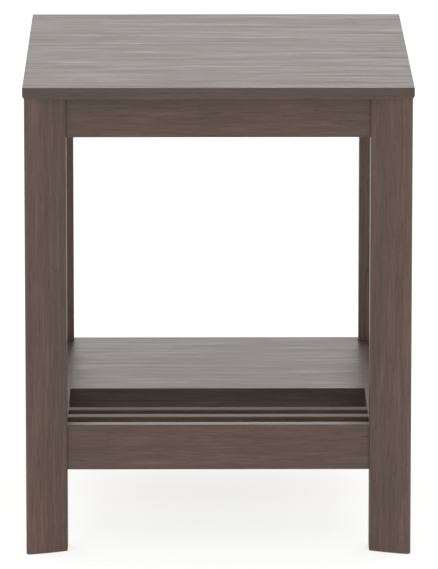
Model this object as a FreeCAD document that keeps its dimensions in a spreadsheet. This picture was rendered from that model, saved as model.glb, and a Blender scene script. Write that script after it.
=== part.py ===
import FreeCAD, Part
import math
import os
import Sketcher

# An end table with a lower shelf behind two open slats.
# Millimetres, +Z up, the front faces -Y, and the origin is on the floor under the middle of the top.

doc = FreeCAD.newDocument("end_table")
sizes = doc.addObject("Spreadsheet::Sheet", "sizes")

driving_sizes = [
    ("table_height", 621, "floor to the top's upper face"),
    ("top_width", 508, "top, side to side"),
    ("top_depth", 610, "top, front to back"),
    ("top_thickness", 15.5, "top board"),
    ("top_bevel_run", 2.5, "underside bevel, inwards"),
    ("top_bevel_rise", 4.5, "underside bevel, upwards"),
    ("top_arris", 1, "rounding of the top's upper edge"),
    ("top_overhang", 2, "top's edge past the noses of the legs"),
    ("leg_size", 54, "leg's nose to its inner faces"),
    ("leg_flat", 34, "width of each inner face of a leg"),
    ("nose_radius", 5, "rounding of the leg's outer corner"),
    ("leg_crown", 300, "radius of the crown across each outer face of a leg"),
    ("foot_ease", 1, "chamfer round the foot"),
    ("arris_radius", 1, "rounding of the long edges of legs, rails and boards"),
    ("apron_height", 54, "rails under the top"),
    ("rail_thickness", 18, "aprons, lower rails and bearer"),
    ("rail_setback", 4, "front and back rails behind the edge of the leg's inner face"),
    ("rail_bottom", 109, "floor to the lower rails"),
    ("rail_height", 60, "lower front and side rails"),
    ("slat_thickness", 18, "open slats, front to back"),
    ("slat_height", 60, "open slats, top to bottom"),
    ("front_gap", 30, "front rail to the front slat"),
    ("slat_gap", 24, "front slat to the rear slat"),
    ("shelf_thickness", 16, "shelf board"),
    ("shelf_depth", 335, "shelf board, front to back"),
    ("shelf_clearance", 0.1, "room at each end of the shelf board"),
    ("bearer_setback", 1, "bearer behind the shelf's front edge"),
    ("cleat_width", 18, "shelf cleats, side to side"),
    ("cleat_height", 26, "shelf cleats, top to bottom"),
    ("block_leg", 64, "corner block along each apron"),
    ("block_tip", 12, "blunt ends of a corner block"),
    ("block_height", 32, "corner block, top to bottom"),
    ("tenon_length", 14, "tenons of aprons and lower rails in the legs"),
    ("stub_length", 10, "tenons of slats and bearer in the side rails"),
    ("tenon_thickness", 8, "all tenons"),
    ("tenon_shoulder", 8, "bar's upper and lower edges to its tenons"),
    ("joint_room", 0.1, "room round tenons and screws"),
    ("screw_diameter", 4, "wood screws, shank"),
    ("screw_head", 8, "wood screws, head"),
    ("screw_head_height", 2.5, "wood screws, countersunk head"),
    ("top_screw_length", 42, "blocks to the top"),
    ("top_screw_offset", 22, "top screw from the block's square corner"),
    ("shelf_screw_length", 36, "cleats to the shelf"),
    ("shelf_screw_inset", 60, "cleat's end to its nearer screw"),
]
for row, (alias, amount, meaning) in enumerate(driving_sizes, start=1):
    sizes.set("A%d" % row, meaning)
    sizes.set("B%d" % row, str(amount))
    sizes.setAlias("B%d" % row, alias)
doc.recompute()

# Places that several pieces share, measured from the middle of the table or from the floor.
nose_x = "(sizes.top_width / 2 - sizes.top_overhang)"
nose_y = "(sizes.top_depth / 2 - sizes.top_overhang)"
inner_x = "(%s - sizes.leg_size)" % nose_x
inner_y = "(%s - sizes.leg_size)" % nose_y
frame_top = "(sizes.table_height - sizes.top_thickness)"
apron_bottom = "(%s - sizes.apron_height)" % frame_top
block_bottom = "(%s - sizes.block_height)" % frame_top
rail_face = "(%s + sizes.leg_flat - sizes.rail_setback)" % inner_y
rail_inside = "(%s - sizes.rail_thickness)" % rail_face
rail_top = "(sizes.rail_bottom + sizes.rail_height)"
shelf_bottom = "(%s - sizes.shelf_thickness)" % rail_top
shelf_front = "(%s - sizes.shelf_depth)" % rail_face
low_rail = "(sizes.rail_height - sizes.shelf_thickness)"
bearer_front = "(%s + sizes.bearer_setback)" % shelf_front
cleat_front = "(%s + sizes.rail_thickness)" % bearer_front
cleat_bottom = "(%s - sizes.cleat_height)" % shelf_bottom
slat_bottom = "(%s - sizes.slat_height)" % rail_top
slat_front_y = "(sizes.rail_thickness + sizes.front_gap - %s)" % rail_face
slat_rear_y = "(%s + sizes.slat_thickness + sizes.slat_gap)" % slat_front_y

blanks = {}
cutters = {}
screws = {}
corners = [
    ("front_left", -1, -1, 0),
    ("front_right", 1, -1, 90),
    ("back_right", 1, 1, 180),
    ("back_left", -1, 1, 270),
]
up = FreeCAD.Vector(0, 0, 1)


def value(expression):
    return float(sizes.evalExpression(expression))


def place(thing, x, y, z):
    thing.setExpression("Placement.Base.x", x)
    thing.setExpression("Placement.Base.y", y)
    thing.setExpression("Placement.Base.z", z)


def new_body(label):
    body = doc.addObject("PartDesign::Body", label + "_blank")
    blanks[label] = body
    cutters[label] = []
    return body


def new_sketch(body):
    sketch = body.newObject("Sketcher::SketchObject", body.Name + "_outline")
    ground = [plane for plane in body.Origin.OriginFeatures if plane.Role == "XY_Plane"]
    sketch.AttachmentSupport = [(ground[0], "")]
    sketch.MapMode = "FlatFace"
    return sketch


def bind(sketch, constraint, name, expression):
    index = sketch.addConstraint(constraint)
    sketch.renameConstraint(index, name)
    sketch.setExpression("Constraints." + name, expression)


def close_outline(sketch, corner_points):
    following = corner_points[1:] + corner_points[:1]
    for start, end in zip(corner_points, following):
        sketch.addGeometry(Part.LineSegment(start, end), False)
    count = len(corner_points)
    for side in range(count):
        sketch.addConstraint(Sketcher.Constraint("Coincident", side, 2, (side + 1) % count, 1))


def pad(body, sketch, height):
    feature = body.newObject("PartDesign::Pad", body.Name + "_pad")
    feature.Profile = sketch
    feature.setExpression("Length", height)
    doc.recompute()
    return feature


def edge_names(shape, wanted):
    return ["Edge%d" % number for number, edge in enumerate(shape.Edges, start=1) if wanted(edge.BoundBox)]


def ease(body, base, names, radius):
    feature = body.newObject("PartDesign::Fillet", body.Name + "_arris")
    feature.Base = (base, names)
    feature.setExpression("Radius", radius)
    doc.recompute()
    return feature


def plank(label, length, width, height):
    # A board or bar, drawn as its footprint from its low corner and padded up.
    body = new_body(label)
    sketch = new_sketch(body)
    along = value(length)
    across = value(width)
    points = [
        FreeCAD.Vector(0, 0, 0),
        FreeCAD.Vector(along, 0, 0),
        FreeCAD.Vector(along, across, 0),
        FreeCAD.Vector(0, across, 0),
    ]
    close_outline(sketch, points)
    sketch.addConstraint(Sketcher.Constraint("Horizontal", 0))
    sketch.addConstraint(Sketcher.Constraint("Vertical", 1))
    sketch.addConstraint(Sketcher.Constraint("Horizontal", 2))
    sketch.addConstraint(Sketcher.Constraint("Vertical", 3))
    sketch.addConstraint(Sketcher.Constraint("Coincident", 0, 1, -1, 1))
    bind(sketch, Sketcher.Constraint("DistanceX", 0, 1, 0, 2, along), "along", length)
    bind(sketch, Sketcher.Constraint("DistanceY", 1, 1, 1, 2, across), "across", width)
    return body, pad(body, sketch, height)


def turned(axis, lengthways, sideways, upwards):
    # The three measures of a bar in the order x, y, z.
    if axis == "x":
        return [lengthways, sideways, upwards]
    return [sideways, lengthways, upwards]


def bar(label, axis, along, thick, height, low_corner, square_side=0):
    # A plank along one axis with eased long edges. Its top edge on a square side stays sharp, to meet a board.
    body, solid = plank(label, *turned(axis, along, thick, height))
    middle = solid.Shape.BoundBox.Center

    def eased(box):
        lengthways = box.XLength > box.YLength + box.ZLength
        sideways = box.Center.y - middle.y
        if axis == "y":
            lengthways = box.YLength > box.XLength + box.ZLength
            sideways = box.Center.x - middle.x
        meets_board = box.Center.z > middle.z and sideways * square_side > 0
        return lengthways and not meets_board

    ease(body, solid, edge_names(solid.Shape, eased), "sizes.arris_radius")
    place(body, *low_corner)


def size_box(box, extents):
    for measure, extent in zip(("Length", "Width", "Height"), extents):
        box.setExpression(measure, extent)


def tenoned_bar(label, axis, along, thick, height, low_corner, reach, receivers, square_side=0):
    # A bar with a tongue that runs past both shoulders, and a mortise for it in the piece at each end.
    bar(label, axis, along, thick, height, low_corner, square_side)
    inset = "(%s - sizes.tenon_thickness) / 2" % thick
    tongue_height = "%s - 2 * sizes.tenon_shoulder" % height
    tongue = blanks[label].newObject("PartDesign::AdditiveBox", label + "_tenons")
    size_box(tongue, turned(axis, "%s + 2 * %s" % (along, reach), "sizes.tenon_thickness", tongue_height))
    place(tongue, *turned(axis, "-" + reach, inset, "sizes.tenon_shoulder"))
    mortise_size = turned(
        axis,
        reach + " + sizes.joint_room",
        "sizes.tenon_thickness + 2 * sizes.joint_room",
        tongue_height + " + 2 * sizes.joint_room",
    )
    for receiver, start in zip(receivers, ("-%s - sizes.joint_room" % reach, along)):
        mortise = doc.addObject("Part::Box", "%s_in_%s" % (label, receiver))
        size_box(mortise, mortise_size)
        offset = turned(axis, start, inset + " - sizes.joint_room", "sizes.tenon_shoulder - sizes.joint_room")
        place(mortise, *["%s + %s" % pair for pair in zip(low_corner, offset)])
        cutters[receiver].append(mortise)


def table_top():
    body, solid = plank("table_top", "sizes.top_width", "sizes.top_depth", "sizes.top_thickness")
    middle = solid.Shape.BoundBox.Center.z
    bevel = body.newObject("PartDesign::Chamfer", "top_bevel")
    bevel.Base = (solid, edge_names(solid.Shape, lambda box: box.ZMax < middle))
    bevel.ChamferType = "Two distances"
    bevel.setExpression("Size", "sizes.top_bevel_rise")
    bevel.setExpression("Size2", "sizes.top_bevel_run")
    doc.recompute()
    ease(body, bevel, edge_names(bevel.Shape, lambda box: box.ZMin > middle), "sizes.top_arris")
    place(body, "-sizes.top_width / 2", "-sizes.top_depth / 2", frame_top)


def leg(label, side, end, turn):
    # In plan two canted and crowned outer faces run from the rounded nose to two square inner faces.
    body = new_body(label)
    sketch = new_sketch(body)
    reach = value("sizes.leg_size")
    flat = value("sizes.leg_flat")
    radius = value("sizes.nose_radius")
    crown = value("sizes.leg_crown")
    run = reach - radius
    nose = FreeCAD.Vector(radius, radius, 0)
    front_edge = FreeCAD.Vector(reach, reach - flat, 0)
    inner_edge = FreeCAD.Vector(reach, reach, 0)
    side_edge = FreeCAD.Vector(reach - flat, reach, 0)
    # The crown's circle passes through the face's edge and holds the nose's circle against its inside.
    chord = front_edge - nose
    along = ((crown - radius) ** 2 - crown ** 2 + chord.Length ** 2) / (2 * chord.Length)
    slant = math.atan2(chord.y, chord.x) + math.acos(along / (crown - radius))
    front_centre = nose + FreeCAD.Vector(math.cos(slant), math.sin(slant), 0) * (crown - radius)
    side_centre = FreeCAD.Vector(front_centre.y, front_centre.x, 0)
    front_start = slant - math.pi
    front_finish = math.atan2(front_edge.y - front_centre.y, front_edge.x - front_centre.x)
    side_start = math.pi / 2 - front_finish
    side_finish = math.pi / 2 - front_start
    front_face = Part.ArcOfCircle(Part.Circle(front_centre, up, crown), front_start, front_finish)
    side_face = Part.ArcOfCircle(Part.Circle(side_centre, up, crown), side_start, side_finish)
    nose_round = Part.ArcOfCircle(Part.Circle(nose, up, radius), side_finish, front_start + math.pi * 2)
    inner_faces = [Part.LineSegment(front_edge, inner_edge), Part.LineSegment(inner_edge, side_edge)]
    for curve in [front_face] + inner_faces + [side_face, nose_round]:
        sketch.addGeometry(curve, False)
    for corner in range(3):
        sketch.addConstraint(Sketcher.Constraint("Coincident", corner, 2, corner + 1, 1))
    sketch.addConstraint(Sketcher.Constraint("Tangent", 3, 2, 4, 1))
    sketch.addConstraint(Sketcher.Constraint("Tangent", 4, 2, 0, 1))
    sketch.addConstraint(Sketcher.Constraint("Vertical", 1))
    sketch.addConstraint(Sketcher.Constraint("Horizontal", 2))
    bind(sketch, Sketcher.Constraint("DistanceX", -1, 1, 1, 2, reach), "reach_x", "sizes.leg_size")
    bind(sketch, Sketcher.Constraint("DistanceY", -1, 1, 1, 2, reach), "reach_y", "sizes.leg_size")
    bind(sketch, Sketcher.Constraint("DistanceY", 1, 1, 1, 2, flat), "flat_y", "sizes.leg_flat")
    bind(sketch, Sketcher.Constraint("DistanceX", 2, 2, 2, 1, flat), "flat_x", "sizes.leg_flat")
    bind(sketch, Sketcher.Constraint("DistanceX", -1, 1, 4, 3, radius), "nose_x", "sizes.nose_radius")
    bind(sketch, Sketcher.Constraint("DistanceY", -1, 1, 4, 3, radius), "nose_y", "sizes.nose_radius")
    bind(sketch, Sketcher.Constraint("Radius", 4, radius), "nose", "sizes.nose_radius")
    bind(sketch, Sketcher.Constraint("Radius", 0, crown), "front_crown", "sizes.leg_crown")
    bind(sketch, Sketcher.Constraint("Radius", 3, crown), "side_crown", "sizes.leg_crown")
    solid = pad(body, sketch, frame_top)
    middle = solid.Shape.BoundBox.Center.z

    def outer_arris(box):
        upright = box.ZLength > box.XLength + box.YLength
        return upright and max(box.Center.x, box.Center.y) > run and min(box.Center.x, box.Center.y) < run

    eased = ease(body, solid, edge_names(solid.Shape, outer_arris), "sizes.arris_radius")
    foot = body.newObject("PartDesign::Chamfer", body.Name + "_foot")
    foot.Base = (eased, edge_names(eased.Shape, lambda box: box.ZMax < middle))
    foot.setExpression("Size", "sizes.foot_ease")
    body.Placement.Rotation = FreeCAD.Rotation(up, turn)
    place(body, "%d * %s" % (side, nose_x), "%d * %s" % (end, nose_y), "0")


def corner_block(label, side, end, turn):
    # A brace in the frame's corner: a square corner with two blunt ends and a slanted face between them.
    body = new_body(label)
    sketch = new_sketch(body)
    reach = value("sizes.block_leg")
    tip = value("sizes.block_tip")
    points = [
        FreeCAD.Vector(0, 0, 0),
        FreeCAD.Vector(reach, 0, 0),
        FreeCAD.Vector(reach, tip, 0),
        FreeCAD.Vector(tip, reach, 0),
        FreeCAD.Vector(0, reach, 0),
    ]
    close_outline(sketch, points)
    sketch.addConstraint(Sketcher.Constraint("Horizontal", 0))
    sketch.addConstraint(Sketcher.Constraint("Vertical", 1))
    sketch.addConstraint(Sketcher.Constraint("Horizontal", 3))
    sketch.addConstraint(Sketcher.Constraint("Vertical", 4))
    sketch.addConstraint(Sketcher.Constraint("Coincident", 0, 1, -1, 1))
    bind(sketch, Sketcher.Constraint("DistanceX", 0, 1, 0, 2, reach), "reach_x", "sizes.block_leg")
    bind(sketch, Sketcher.Constraint("DistanceY", 4, 2, 4, 1, reach), "reach_y", "sizes.block_leg")
    bind(sketch, Sketcher.Constraint("DistanceY", 1, 1, 1, 2, tip), "tip_y", "sizes.block_tip")
    bind(sketch, Sketcher.Constraint("DistanceX", 3, 2, 3, 1, tip), "tip_x", "sizes.block_tip")
    pad(body, sketch, "sizes.block_height")
    body.Placement.Rotation = FreeCAD.Rotation(up, turn)
    place(body, "%d * %s" % (side, inner_x), "%d * %s" % (end, rail_inside), block_bottom)


def screw_form(name, start, length, room):
    # An upright screw with a countersunk head below and a plain shank, grown by the given room.
    shank_radius = "sizes.screw_diameter / 2 + " + room
    head = doc.addObject("Part::Cone", name + "_head")
    head.setExpression("Radius1", "sizes.screw_head / 2 + " + room)
    head.setExpression("Radius2", shank_radius)
    head.setExpression("Height", "sizes.screw_head_height")
    place(head, *start)
    shank = doc.addObject("Part::Cylinder", name + "_shank")
    shank.setExpression("Radius", shank_radius)
    shank.setExpression("Height", "%s + %s" % (length, room))
    place(shank, *start)
    form = doc.addObject("Part::Fuse", name)
    form.Base = head
    form.Tool = shank
    return form


def screw(group, start, length, pieces):
    # A screw of a group, and the hole that it shares with the pieces it holds.
    members = screws.setdefault(group, [])
    name = "%s_%d" % (group, len(members))
    members.append(screw_form(name, start, length, "0"))
    for piece in pieces:
        cutters[piece].append(screw_form(name + "_in_" + piece, start, length, "sizes.joint_room"))


# The top, the legs, and the braces that hold the top with one upright screw each.
table_top()
for corner, side, end, turn in corners:
    leg("leg_" + corner, side, end, turn)
    block = "corner_block_" + corner
    corner_block(block, side, end, turn)
    screw_x = "%d * (%s - sizes.top_screw_offset)" % (side, inner_x)
    screw_y = "%d * (%s - sizes.top_screw_offset)" % (end, rail_inside)
    screw_start = [screw_x, screw_y, block_bottom]
    screw("top_screws", screw_start, "sizes.top_screw_length", [block, "table_top"])

# Aprons under the top and rails near the floor, tenoned into the legs. The shelf lies level with the tops
# of the side rails, which stay square there.
across = "2 * %s" % inner_x
endways = "2 * %s" % inner_y
left_x = "-%s - sizes.rail_thickness" % inner_x
front_y = "-" + rail_face
leg_pairs = {
    "front": ["leg_front_left", "leg_front_right"],
    "back": ["leg_back_left", "leg_back_right"],
    "left": ["leg_front_left", "leg_back_left"],
    "right": ["leg_front_right", "leg_back_right"],
}
levels = [
    ("apron", apron_bottom, "sizes.apron_height", "sizes.apron_height", 0),
    ("rail", "sizes.rail_bottom", "sizes.rail_height", low_rail, 1),
]
for kind, bottom, height, back_height, square in levels:
    members = [
        ("front", "x", across, height, ["-" + inner_x, front_y, bottom], 0),
        ("back", "x", across, back_height, ["-" + inner_x, rail_inside, bottom], 0),
        ("left", "y", endways, height, [left_x, "-" + inner_y, bottom], square),
        ("right", "y", endways, height, [inner_x, "-" + inner_y, bottom], -square),
    ]
    for place_word, axis, along, tall, low_corner, square_side in members:
        label = "%s_%s" % (kind, place_word)
        legs = leg_pairs[place_word]
        reach = "sizes.tenon_length"
        tenoned_bar(label, axis, along, "sizes.rail_thickness", tall, low_corner, reach, legs, square_side)

# The open slats and the shelf's bearer, tenoned into the side rails.
slats = [
    ("slat_front", "sizes.slat_thickness", "sizes.slat_height", slat_front_y, slat_bottom),
    ("slat_rear", "sizes.slat_thickness", "sizes.slat_height", slat_rear_y, slat_bottom),
    ("shelf_bearer", "sizes.rail_thickness", low_rail, bearer_front, "sizes.rail_bottom"),
]
for label, thick, height, slat_y, bottom in slats:
    low_corner = ["-" + inner_x, slat_y, bottom]
    tenoned_bar(label, "x", across, thick, height, low_corner, "sizes.stub_length", ["rail_left", "rail_right"])

# The shelf lies on the bearer, the back rail and two cleats, which hold it with upright screws.
shelf_along = across + " - 2 * sizes.shelf_clearance"
shelf_corner = ["sizes.shelf_clearance - " + inner_x, shelf_front, shelf_bottom]
bar("shelf_board", "x", shelf_along, "sizes.shelf_depth", "sizes.shelf_thickness", shelf_corner)
for side_word, side in (("left", -1), ("right", 1)):
    cleat = "cleat_" + side_word
    cleat_middle = "%d * (%s - sizes.cleat_width / 2)" % (side, inner_x)
    cleat_along = "(%s - %s)" % (rail_inside, cleat_front)
    cleat_corner = [cleat_middle + " - sizes.cleat_width / 2", cleat_front, cleat_bottom]
    bar(cleat, "y", cleat_along, "sizes.cleat_width", "sizes.cleat_height", cleat_corner)
    for screw_y in (cleat_front + " + sizes.shelf_screw_inset", rail_inside + " - sizes.shelf_screw_inset"):
        screw_start = [cleat_middle, screw_y, cleat_bottom]
        screw("shelf_screws", screw_start, "sizes.shelf_screw_length", [cleat, "shelf_board"])

# Each worked piece is its blank less its mortises and screw holes. Each group of screws is one node.
nodes = {}
for label, blank in blanks.items():
    piece = blank
    if cutters[label]:
        cut_away = doc.addObject("Part::Compound", label + "_cutters")
        cut_away.Links = cutters[label]
        piece = doc.addObject("Part::Cut", label)
        piece.Base = blank
        piece.Tool = cut_away
    piece.Label = label
    nodes[label] = (piece, 1)
for group, members in screws.items():
    bundle = doc.addObject("Part::Compound", group)
    bundle.Links = members
    nodes[group] = (bundle, len(members))
doc.recompute()

failed = [thing.Label for thing in doc.Objects if "Invalid" in thing.State or "Error" in thing.State]
if failed:
    raise RuntimeError("failed: " + ", ".join(failed))
for label, (piece, solids) in nodes.items():
    shape = piece.Shape
    if shape.isNull() or not shape.isValid() or len(shape.Solids) != solids:
        raise RuntimeError("bad shape: " + label)
    if label in blanks and cutters[label] and shape.Volume >= blanks[label].Shape.Volume:
        raise RuntimeError("nothing is cut from " + label)

os.makedirs("parts", exist_ok=True)
for label, (piece, solids) in nodes.items():
    piece.Shape.exportStep(os.path.join("parts", label + ".step"))
print("%d nodes, %d solids" % (len(nodes), sum(solids for piece, solids in nodes.values())))
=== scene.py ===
import math

import bpy
import numpy as np
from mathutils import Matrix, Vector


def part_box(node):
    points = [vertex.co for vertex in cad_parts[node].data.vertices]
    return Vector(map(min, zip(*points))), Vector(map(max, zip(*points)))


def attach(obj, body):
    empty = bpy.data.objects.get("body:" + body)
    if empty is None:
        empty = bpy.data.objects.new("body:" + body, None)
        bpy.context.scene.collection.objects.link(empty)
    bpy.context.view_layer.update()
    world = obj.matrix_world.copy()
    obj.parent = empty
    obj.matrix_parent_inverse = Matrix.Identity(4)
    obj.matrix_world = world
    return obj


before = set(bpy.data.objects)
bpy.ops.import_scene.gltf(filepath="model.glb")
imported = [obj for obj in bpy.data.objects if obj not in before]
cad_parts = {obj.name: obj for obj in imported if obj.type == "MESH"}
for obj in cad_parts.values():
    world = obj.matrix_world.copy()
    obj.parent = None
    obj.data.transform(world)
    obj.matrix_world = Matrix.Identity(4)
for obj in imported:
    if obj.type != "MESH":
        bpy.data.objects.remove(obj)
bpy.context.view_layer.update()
print("frame loaded:", len(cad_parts), "pieces")


def linearColour(hexText, gain=1.0):
    # sRGB hex to linear light, times a gain, with full alpha
    srgb = [int(hexText[place:place + 2], 16) / 255 for place in (1, 3, 5)]
    linear = [c / 12.92 if c <= 0.04045 else ((c + 0.055) / 1.055) ** 2.4 for c in srgb]
    return tuple(gain * c for c in linear) + (1.0,)


def addNode(tree, kind, settings=None, links=None):
    # settings are socket values or node properties, links join another node's output to a socket
    node = tree.nodes.new(kind)
    for key, setting in (settings or {}).items():
        if isinstance(key, int) or key in node.inputs:
            node.inputs[key].default_value = setting
        else:
            setattr(node, key, setting)
    for key, output in (links or {}).items():
        tree.links.new(output, node.inputs[key])
    return node


def newMaterial(name):
    material = bpy.data.materials.new(name)
    material.use_nodes = True
    tree = material.node_tree
    tree.nodes.clear()
    surface = addNode(tree, "ShaderNodeBsdfPrincipled")
    addNode(tree, "ShaderNodeOutputMaterial", links={"Surface": surface.outputs["BSDF"]})
    return material, tree, surface


def grainScale(axis, lengthMm, widthMm):
    # pattern units per metre, long along the grain and narrow across it
    scale = [1000 / widthMm] * 3
    scale[axis] = 1000 / lengthMm
    return scale


def dress(nodeName, material):
    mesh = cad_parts[nodeName].data
    mesh.materials.clear()
    mesh.materials.append(material)


# Hardwood, planed and sanded, wiped with a grey-brown stain and sprayed with satin lacquer.
# To the eye: warm and grey zones along the board, soft streaks, short dark pores, and a clear
# coat that turns pale where it is seen at a low angle.
stainedWood = {
    "warm": "#594136",
    "grey": "#524239",
    "pore": "#30251f",
    "haze": "#66584f",
    "bendMm": 260,  # how far apart the grain's bends are
    "wanderMm": 2.2,  # how far a bend goes sideways
    "noiseSwing": 0.25,  # how far the noise usually goes from its middle
    "details": {"zone": 2, "figure": 2, "streak": 4, "pore": 1},  # finer steps in each layer's noise
    "zoneNoise": (0.25, 0.75),  # the noise at which the stain is warm and at which it is grey
    "grainNoise": (0.3, 0.7),  # the noise at the two ends of a shade or of the gloss
    "figureShade": (0.84, 1.16),
    "streakShade": (0.8, 1.2),
    "hazeNoise": (0.55, 0.8),  # pale bloom on the lightest figure
    "hazeMost": 0.4,
    "poreNoise": (0.6, 0.74),  # stain that has filled the pores
    "poreMost": 0.5,
    "ior": 1.46,
}

# Layers of the grain, along it and across it. A wide board is cut flat to the rings, which spreads
# its figure. Real pores are about 0.2 mm wide, drawn coarser so that they show.
# paintedShadeMm: where the painted shade is darkest and where it ends, in from the board's outline; for a
# post,
#   from its middle towards its nose
# fine: how strong the finer steps of the noise are
# leastGrey: the least share of grey stain
# streakShare: how far the lacquer follows the streaks, where the figure counts as 1
# reliefMm: how deep the lacquer ripples
# roughness: where the lacquer lies full, and where it has sunk in
grainCuts = {
    "narrow": {
        "zoneMm": (420, 22), "figureMm": (110, 8), "streakMm": (34, 2.2), "poreMm": (18, 1.3),
        "paintedShadeMm": (0.3, 1.0), "fine": 0.6, "leastGrey": 0.0, "streakShare": 0.85,
        "reliefMm": 0.08, "roughness": (0.32, 0.46),
    },
    "post": {
        "zoneMm": (480, 20), "figureMm": (150, 8), "streakMm": (38, 2.2), "poreMm": (18, 1.3),
        "paintedShadeMm": (-20, 48), "fine": 0.6, "leastGrey": 0.0, "streakShare": 0.85,
        "reliefMm": 0.08, "roughness": (0.32, 0.46),
    },
    "wide": {
        "zoneMm": (900, 80), "figureMm": (210, 11), "streakMm": (70, 6), "poreMm": (34, 2.4),
        "paintedShadeMm": (2.2, 3.0), "fine": 0.72, "leastGrey": 0.8, "streakShare": 0.95,
        "reliefMm": 0.45, "roughness": (0.27, 0.61),
    },
    "shelf": {
        "zoneMm": (900, 80), "figureMm": (200, 11), "streakMm": (62, 6), "poreMm": (34, 2.4),
        "paintedShadeMm": (0.3, 1.0), "fine": 0.72, "leastGrey": 0.8, "streakShare": 0.95,
        "reliefMm": 0.3, "roughness": (0.3, 0.55),
    },
}


def bendGrain(tree, where, shift):
    # the grain wanders sideways a little along the board
    look = stainedWood
    scale = [1000 / look["bendMm"]] * 3
    size = addNode(tree, "ShaderNodeMapping", {"Scale": scale, "Location": shift}, {"Vector": where})
    bend = addNode(tree, "ShaderNodeTexNoise", {"Scale": 1.0, "Detail": 1.0}, {"Vector": size.outputs[0]})
    centred = addNode(tree, "ShaderNodeVectorMath", {"operation": "SUBTRACT", 1: (0.5, 0.5, 0.5)},
                      {0: bend.outputs["Color"]})
    reach = look["wanderMm"] / 1000 / look["noiseSwing"]
    sideways = addNode(tree, "ShaderNodeVectorMath", {"operation": "SCALE", "Scale": reach},
                       {0: centred.outputs[0]})
    bent = addNode(tree, "ShaderNodeVectorMath", {"operation": "ADD"}, {0: where, 1: sideways.outputs[0]})
    return bent.outputs[0]


def grainLayers(tree, bent, axis, grain, shift):
    layers = {}
    for layer, detail in stainedWood["details"].items():
        scale = grainScale(axis, *grain[layer + "Mm"])
        size = addNode(tree, "ShaderNodeMapping", {"Scale": scale, "Location": shift}, {"Vector": bent})
        noise = addNode(tree, "ShaderNodeTexNoise",
                        {"Scale": 1.0, "Detail": detail, "Roughness": grain["fine"]},
                        {"Vector": size.outputs[0]})
        layers[layer] = noise.outputs["Fac"]
    return layers


def stainColour(tree, layers, grain, tone):
    look = stainedWood
    low, high = look["zoneNoise"]
    zone = addNode(tree, "ShaderNodeMapRange",
                   {"From Min": low, "From Max": high, "To Min": grain["leastGrey"]},
                   {"Value": layers["zone"]})
    warm = linearColour(look["warm"], tone)
    grey = linearColour(look["grey"], tone)
    base = addNode(tree, "ShaderNodeMix", {"data_type": "RGBA", 6: warm, 7: grey}, {0: zone.outputs[0]})
    colour = base.outputs[2]
    low, high = look["grainNoise"]
    for layer in ("figure", "streak"):
        dark, light = look[layer + "Shade"]
        shade = addNode(tree, "ShaderNodeMapRange",
                        {"From Min": low, "From Max": high, "To Min": dark, "To Max": light},
                        {"Value": layers[layer]})
        shaded = addNode(tree, "ShaderNodeVectorMath", {"operation": "SCALE"},
                         {0: colour, "Scale": shade.outputs[0]})
        colour = shaded.outputs[0]
    for layer, wash in (("figure", "haze"), ("pore", "pore")):
        low, high = look[wash + "Noise"]
        share = addNode(tree, "ShaderNodeMapRange",
                        {"From Min": low, "From Max": high, "To Max": look[wash + "Most"]},
                        {"Value": layers[layer]})
        washed = addNode(tree, "ShaderNodeMix", {"data_type": "RGBA", 7: linearColour(look[wash], tone)},
                         {0: share.outputs[0], 6: colour})
        colour = washed.outputs[2]
    return colour


def paintShade(tree, colour, where, nodeName, cut, paintedShadeTone):
    # painted shade: the colour is darkened at a board's sawn edges, and on a leg from its nose to its
    # inner faces, standing in for the shade that falls there
    low, high = (np.array(corner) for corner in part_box(nodeName))
    fromMiddle = addNode(tree, "ShaderNodeVectorMath", {"operation": "SUBTRACT", 1: (low + high) / 2},
                         {0: where})
    if cut == "post":
        toNose = np.sign(low + high) * (1, 1, 0)
        across = addNode(tree, "ShaderNodeVectorMath", {"operation": "DOT_PRODUCT", 1: toNose},
                         {0: fromMiddle.outputs[0]})
        fromEdge = across.outputs["Value"]
    else:
        outwards = addNode(tree, "ShaderNodeVectorMath", {"operation": "ABSOLUTE"},
                           {0: fromMiddle.outputs[0]})
        inset = addNode(tree, "ShaderNodeVectorMath", {"operation": "SUBTRACT", 0: (high - low) / 2},
                        {1: outwards.outputs[0]})
        sides = addNode(tree, "ShaderNodeSeparateXYZ", links={0: inset.outputs[0]})
        nearest = addNode(tree, "ShaderNodeMath", {"operation": "MINIMUM"},
                          {0: sides.outputs["X"], 1: sides.outputs["Y"]})
        fromEdge = nearest.outputs[0]
    dark, plain = (reach / 1000 for reach in grainCuts[cut]["paintedShadeMm"])
    paintedShadeFactor = addNode(tree, "ShaderNodeMapRange",
                   {"From Min": dark, "From Max": plain, "To Min": paintedShadeTone, "To Max": 1.0},
                   {"Value": fromEdge})
    withPaintedShade = addNode(tree, "ShaderNodeVectorMath", {"operation": "SCALE"},
                     {0: colour, "Scale": paintedShadeFactor.outputs[0]})
    return withPaintedShade.outputs[0]


def addLacquer(tree, surface, layers, grain, dull):
    # the lacquer follows the grain: duller where it sinks in, and very slightly rippled
    share = grain["streakShare"]
    sink = addNode(tree, "ShaderNodeMath", {"operation": "MULTIPLY_ADD", 1: share},
                   {0: layers["streak"], 2: layers["figure"]})
    low, high = (end * (1 + share) for end in stainedWood["grainNoise"])
    smooth, matt = (amount + dull for amount in grain["roughness"])
    gloss = addNode(tree, "ShaderNodeMapRange",
                    {"From Min": low, "From Max": high, "To Min": smooth, "To Max": matt},
                    {"Value": sink.outputs[0]})
    tree.links.new(gloss.outputs[0], surface.inputs["Roughness"])
    relief = addNode(tree, "ShaderNodeBump",
                     {"Strength": 1.0, "Distance": grain["reliefMm"] / 1000, "invert": True},
                     {"Height": sink.outputs[0]})
    tree.links.new(relief.outputs[0], surface.inputs["Normal"])
    surface.inputs["IOR"].default_value = stainedWood["ior"]


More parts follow.
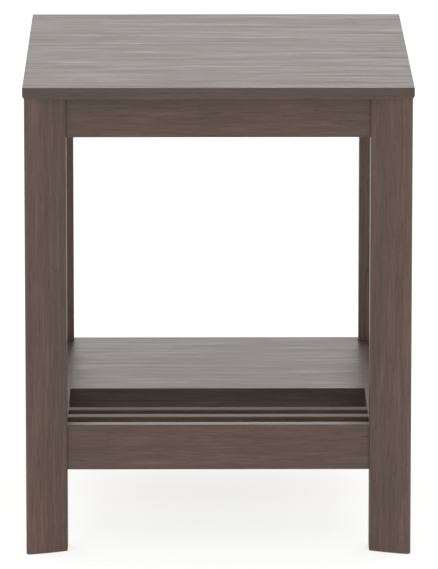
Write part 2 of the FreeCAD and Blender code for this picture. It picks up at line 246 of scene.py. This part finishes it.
def makeStainedWood(nodeName, board, shift):
    grain = grainCuts[board["cut"]]
    material, tree, surface = newMaterial("stained hardwood, " + nodeName.replace("_", " "))
    where = addNode(tree, "ShaderNodeTexCoord").outputs["Object"]
    bent = bendGrain(tree, where, shift)
    layers = grainLayers(tree, bent, "xyz".index(board["along"]), grain, shift)
    colour = stainColour(tree, layers, grain, board["tone"])
    # painted shade: darker at sawn edges and on a leg's inner faces
    withPaintedShade = paintShade(tree, colour, where, nodeName, board["cut"], board["paintedShadeTone"])
    tree.links.new(withPaintedShade, surface.inputs["Base Color"])
    addLacquer(tree, surface, layers, grain, board["dull"])
    return material


# Which way the grain runs along each piece, how it is cut, how light it took the stain, how much duller
# its lacquer is than its cut's, and how dark its painted shade is, at its sawn edges and on a leg's inner
# faces.
woodPieces = {
    "table_top": {"along": "x", "cut": "wide", "tone": 1.04, "dull": 0.0, "paintedShadeTone": 0.86},
    "leg_front_left": {"along": "z", "cut": "post", "tone": 1.06, "dull": 0.0, "paintedShadeTone": 0.82},
    "leg_front_right": {"along": "z", "cut": "post", "tone": 1.08, "dull": 0.0, "paintedShadeTone": 0.82},
    "leg_back_right": {"along": "z", "cut": "post", "tone": 1.14, "dull": 0.0, "paintedShadeTone": 0.82},
    "leg_back_left": {"along": "z", "cut": "post", "tone": 1.04, "dull": 0.0, "paintedShadeTone": 0.82},
    "apron_front": {"along": "x", "cut": "narrow", "tone": 0.96, "dull": 0.0, "paintedShadeTone": 1.0},
    "apron_back": {"along": "x", "cut": "narrow", "tone": 1.02, "dull": 0.0, "paintedShadeTone": 1.0},
    "apron_left": {"along": "y", "cut": "narrow", "tone": 1.02, "dull": 0.0, "paintedShadeTone": 1.0},
    "apron_right": {"along": "y", "cut": "narrow", "tone": 1.0, "dull": 0.0, "paintedShadeTone": 1.0},
    "rail_front": {"along": "x", "cut": "narrow", "tone": 0.99, "dull": 0.02, "paintedShadeTone": 1.0},
    "rail_back": {"along": "x", "cut": "narrow", "tone": 1.02, "dull": 0.0, "paintedShadeTone": 1.0},
    "rail_left": {"along": "y", "cut": "narrow", "tone": 0.92, "dull": 0.0, "paintedShadeTone": 1.0},
    "rail_right": {"along": "y", "cut": "narrow", "tone": 0.92, "dull": 0.0, "paintedShadeTone": 1.0},
    "slat_front": {"along": "x", "cut": "narrow", "tone": 1.0, "dull": 0.13, "paintedShadeTone": 1.0},
    "slat_rear": {"along": "x", "cut": "narrow", "tone": 0.97, "dull": 0.25, "paintedShadeTone": 1.0},
    "shelf_board": {"along": "x", "cut": "shelf", "tone": 1.0, "dull": 0.01, "paintedShadeTone": 0.56},
    # the shelf bearer's low tone is painted shade, for the shade in the gap under the shelf
    "shelf_bearer": {"along": "x", "cut": "narrow", "tone": 0.7, "dull": 0.4, "paintedShadeTone": 1.0},
}
boardStep = (7.31, 3.17, 5.53)  # from one board's figure to the next one's, so that no two share it
for order, (nodeName, board) in enumerate(woodPieces.items()):
    dress(nodeName, makeStainedWood(nodeName, board, tuple(order * step for step in boardStep)))
print("stained boards:", len(woodPieces))

# Pine offcut, sawn and planed, left unfinished: pale yellow, matt, with darker growth lines.
bareWood = {
    "pale": "#c9a77a",
    "line": "#a47c4d",
    "ringMm": (260, 5),
    "ringNoise": (0.4, 0.62),  # the noise at which a growth line starts and at which it is darkest
    "fibreMm": (30, 0.9),
    "fibreNoise": (0.3, 0.7),
    "fibreShade": (0.88, 1.1),
    "reliefMm": 0.2,
    "reliefStrength": 0.25,
    "roughness": 0.7,
}


def makeBareWood(name, axis):
    look = bareWood
    material, tree, surface = newMaterial(name)
    where = addNode(tree, "ShaderNodeTexCoord").outputs["Object"]
    scale = grainScale(axis, *look["ringMm"])
    size = addNode(tree, "ShaderNodeMapping", {"Scale": scale}, {"Vector": where})
    ring = addNode(tree, "ShaderNodeTexNoise", {"Scale": 1.0, "Detail": 2.0}, {"Vector": size.outputs[0]})
    low, high = look["ringNoise"]
    lines = addNode(tree, "ShaderNodeMapRange", {"From Min": low, "From Max": high},
                    {"Value": ring.outputs["Fac"]})
    pale = linearColour(look["pale"])
    line = linearColour(look["line"])
    base = addNode(tree, "ShaderNodeMix", {"data_type": "RGBA", 6: pale, 7: line}, {0: lines.outputs[0]})
    scale = grainScale(axis, *look["fibreMm"])
    size = addNode(tree, "ShaderNodeMapping", {"Scale": scale}, {"Vector": where})
    fibre = addNode(tree, "ShaderNodeTexNoise", {"Scale": 1.0, "Detail": 1.0}, {"Vector": size.outputs[0]})
    low, high = look["fibreNoise"]
    dark, light = look["fibreShade"]
    tuft = addNode(tree, "ShaderNodeMapRange",
                   {"From Min": low, "From Max": high, "To Min": dark, "To Max": light},
                   {"Value": fibre.outputs["Fac"]})
    shaded = addNode(tree, "ShaderNodeVectorMath", {"operation": "SCALE"},
                     {0: base.outputs[2], "Scale": tuft.outputs[0]})
    tree.links.new(shaded.outputs[0], surface.inputs["Base Color"])
    relief = addNode(tree, "ShaderNodeBump",
                     {"Strength": look["reliefStrength"], "Distance": look["reliefMm"] / 1000},
                     {"Height": fibre.outputs["Fac"]})
    tree.links.new(relief.outputs[0], surface.inputs["Normal"])
    surface.inputs["Roughness"].default_value = look["roughness"]
    return material


# Strips and braces that stay out of sight, with the way their grain runs.
hiddenWood = {
    "cleat_left": "y",
    "cleat_right": "y",
    "corner_block_front_left": "x",
    "corner_block_front_right": "x",
    "corner_block_back_right": "x",
    "corner_block_back_left": "x",
}
bareByAxis = {along: makeBareWood("bare pine, grain along " + along, "xyz".index(along)) for along in "xy"}
for nodeName, along in hiddenWood.items():
    dress(nodeName, bareByAxis[along])
print("bare pieces:", len(hiddenWood))

# Zinc-plated steel screws, tumbled: a soft bright grey with faint clouds of yellow passivation.
zincSteel = {"bright": "#c3c2bb", "yellow": "#b7ae90", "cloudMm": 3.0, "roughness": (0.28, 0.46)}


def makeZincSteel(name):
    look = zincSteel
    material, tree, surface = newMaterial(name)
    where = addNode(tree, "ShaderNodeTexCoord").outputs["Object"]
    scale = [1000 / look["cloudMm"]] * 3
    size = addNode(tree, "ShaderNodeMapping", {"Scale": scale}, {"Vector": where})
    cloud = addNode(tree, "ShaderNodeTexNoise", {"Scale": 1.0, "Detail": 2.0}, {"Vector": size.outputs[0]})
    bright = linearColour(look["bright"])
    yellow = linearColour(look["yellow"])
    tint = addNode(tree, "ShaderNodeMix", {"data_type": "RGBA", 6: bright, 7: yellow},
                   {0: cloud.outputs["Fac"]})
    smooth, matt = look["roughness"]
    dull = addNode(tree, "ShaderNodeMapRange", {"To Min": smooth, "To Max": matt},
                   {"Value": cloud.outputs["Fac"]})
    tree.links.new(tint.outputs[2], surface.inputs["Base Color"])
    tree.links.new(dull.outputs[0], surface.inputs["Roughness"])
    surface.inputs["Metallic"].default_value = 1.0
    return material


zinc = makeZincSteel("zinc-plated steel")
for nodeName in ("top_screws", "shelf_screws"):
    dress(nodeName, zinc)
print("materials:", len(bpy.data.materials))

# Screws that hold the corner blocks to the aprons, driven square to each block's slanted face.
blockScrews = {
    "radiusMm": 4.2,
    "domeMm": 1.5,
    "slotMm": 0.7,  # half as wide as a slot of the cross is at its mouth
    "slotDeepMm": 1.0,
    "slotReach": (1 / 2, 9 / 14),  # shares of the radius where a slot starts to run out and where it ends
    "insetMm": 13,  # from the ends of the slanted face
    "tipMm": 12,  # the block's blunt ends
    "rings": 14,
    "spokes": 32,
    "corners": {"front_left": (-1, -1), "front_right": (1, -1), "back_right": (1, 1), "back_left": (-1, 1)},
}


def screwHead(settings):
    # A low dome in millimetres: height = dome * (1 - r^2), with r from 0 in the middle to 1 at the rim,
    # less a cross of two slots. A slot has its full depth over the inner half of its width and slopes up
    # to its mouth.
    spokes = settings["spokes"]
    ring = np.linspace(0, 1, settings["rings"])[1:]
    turn = np.linspace(0, 2 * math.pi, spokes, endpoint=False)
    r, t = np.meshgrid(ring, turn, indexing="ij")
    across = r * np.cos(t)
    along = r * np.sin(t)
    fromSlot = np.minimum(abs(across), abs(along)) * settings["radiusMm"] / settings["slotMm"]
    full, end = settings["slotReach"]
    cross = np.clip(2 - 2 * fromSlot, 0, 1) * np.clip((end - r) / (end - full), 0, 1)
    height = settings["domeMm"] * (1 - r ** 2) - settings["slotDeepMm"] * cross
    dome = np.stack([across * settings["radiusMm"], along * settings["radiusMm"], height], -1).reshape(-1, 3)
    middle = [[0, 0, settings["domeMm"] - settings["slotDeepMm"]]]
    points = np.concatenate([middle, dome])

    i, j = np.meshgrid(np.arange(len(ring) - 1), np.arange(spokes), indexing="ij")
    a = 1 + i * spokes + j
    b = 1 + i * spokes + (j + 1) % spokes
    quads = np.stack([a, a + spokes, b + spokes, b], -1).reshape(-1, 4)
    spoke = np.arange(spokes)
    fan = np.stack([np.zeros(spokes, int), 1 + spoke, 1 + (spoke + 1) % spokes], -1)
    back = (1 + (len(ring) - 1) * spokes + spoke)[::-1]
    return points, quads, fan, back


def placeBlockScrews(settings):
    # Each block is a triangle with blunt tips in a corner of the frame. Its slanted face runs from one tip
    # to the other, and a head sits a little way in from each end, halfway up.
    points, quads, fan, back = screwHead(settings)
    tip = settings["tipMm"]
    vertices = []
    faces = []
    for corner, (sideX, sideY) in settings["corners"].items():
        low, high = (np.array(v) * 1000 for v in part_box("corner_block_" + corner))
        square = np.array([low[0] if sideX < 0 else high[0], low[1] if sideY < 0 else high[1]])
        reach = high[0] - low[0]
        outward = np.array([-sideX, -sideY, 0]) / math.sqrt(2)
        level = np.array([sideX, -sideY, 0]) / math.sqrt(2)
        upright = np.cross(outward, level)
        inset = settings["insetMm"] / (reach - tip) / math.sqrt(2)
        for share in (inset, 1 - inset):
            fromX = reach + (tip - reach) * share
            fromY = tip + (reach - tip) * share
            seat = np.array([square[0] - sideX * fromX, square[1] - sideY * fromY, (low[2] + high[2]) / 2])
            turned = points[:, :1] * level + points[:, 1:2] * upright + points[:, 2:] * outward
            start = len(vertices) * len(points)
            vertices.append(seat + turned)
            faces += (quads + start).tolist() + (fan + start).tolist() + [(back + start).tolist()]
    mesh = bpy.data.meshes.new("blockScrews")
    mesh.from_pydata((np.concatenate(vertices) / 1000).tolist(), [], faces)
    mesh.materials.append(zinc)
    piece = bpy.data.objects.new("blockScrews", mesh)
    bpy.context.scene.collection.objects.link(piece)
    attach(piece, "root")


placeBlockScrews(blockScrews)
print("screw heads placed")

# Studio: a light table in a white tent, so that the table throws hardly any shadow. The opal acrylic
# floor glows by itself and scatters what falls on it, and the tent's back wall is lit brighter than the rest.
studio = {
    "floorMetres": 30,
    "floor": "#9e9e9d",
    "floorRoughness": 0.9,
    "floorSpecular": 0.2,
    "cloudMm": 250,
    "cloudShade": (0.99, 1.0),
    "glow": "#ffffff",
    "glowStrength": 0.75,
    "sky": "#ffffff",
    "skyStrength": 1.0,
    "backdropStrength": 1.66,
    "backdropReach": (0.5, 0.85),  # how far back a ray points where the wall starts and where it is brightest
}


def makeFloor(settings):
    half = settings["floorMetres"] / 2
    mesh = bpy.data.meshes.new("floor")
    corners = [(-half, -half, 0), (half, -half, 0), (half, half, 0), (-half, half, 0)]
    mesh.from_pydata(corners, [], [(0, 1, 2, 3)])
    floor = bpy.data.objects.new("floor", mesh)
    bpy.context.scene.collection.objects.link(floor)
    material, tree, surface = newMaterial("opal acrylic, lit from below")
    where = addNode(tree, "ShaderNodeTexCoord").outputs["Object"]
    scale = 1000 / settings["cloudMm"]
    cloud = addNode(tree, "ShaderNodeTexNoise", {"Scale": scale, "Detail": 2.0}, {"Vector": where})
    dark, light = settings["cloudShade"]
    shade = addNode(tree, "ShaderNodeMapRange", {"To Min": dark, "To Max": light},
                    {"Value": cloud.outputs["Fac"]})
    plain = linearColour(settings["floor"])[:3]
    colour = addNode(tree, "ShaderNodeVectorMath", {"operation": "SCALE", 0: plain},
                     {"Scale": shade.outputs[0]})
    tree.links.new(colour.outputs[0], surface.inputs["Base Color"])
    surface.inputs["Emission Color"].default_value = linearColour(settings["glow"])
    surface.inputs["Emission Strength"].default_value = settings["glowStrength"]
    surface.inputs["Roughness"].default_value = settings["floorRoughness"]
    surface.inputs["Specular IOR Level"].default_value = settings["floorSpecular"]
    mesh.materials.append(material)


def makeLightTent(settings):
    world = bpy.data.worlds.new("light tent")
    world.use_nodes = True
    tree = world.node_tree
    background = tree.nodes["Background"]
    background.inputs["Color"].default_value = linearColour(settings["sky"])
    towards = addNode(tree, "ShaderNodeTexCoord").outputs["Generated"]
    parts = addNode(tree, "ShaderNodeSeparateXYZ", links={0: towards})
    start, full = settings["backdropReach"]
    wall = addNode(tree, "ShaderNodeMapRange",
                   {"From Min": start, "From Max": full,
                    "To Min": settings["skyStrength"], "To Max": settings["backdropStrength"]},
                   {"Value": parts.outputs["Y"]})
    tree.links.new(wall.outputs[0], background.inputs["Strength"])
    bpy.context.scene.world = world
    bpy.context.scene.view_settings.view_transform = "Standard"


makeFloor(studio)
makeLightTent(studio)

# A long lens from in front and above, as in the photograph.
viewpoint = {
    "placeM": (-0.046, -8.4325, 2.0039),
    "downDeg": 11.422,
    "rightDeg": 0.329,
    "lensMm": 403.4,
    "sensorMm": 36,
}
camera = bpy.data.objects.new("camera", bpy.data.cameras.new("camera"))
camera.data.sensor_width = viewpoint["sensorMm"]
camera.data.lens = viewpoint["lensMm"]
camera.location = viewpoint["placeM"]
camera.rotation_euler = (math.radians(90 - viewpoint["downDeg"]), 0, math.radians(-viewpoint["rightDeg"]))
bpy.context.scene.collection.objects.link(camera)
bpy.context.scene.camera = camera
print("studio and camera ready")
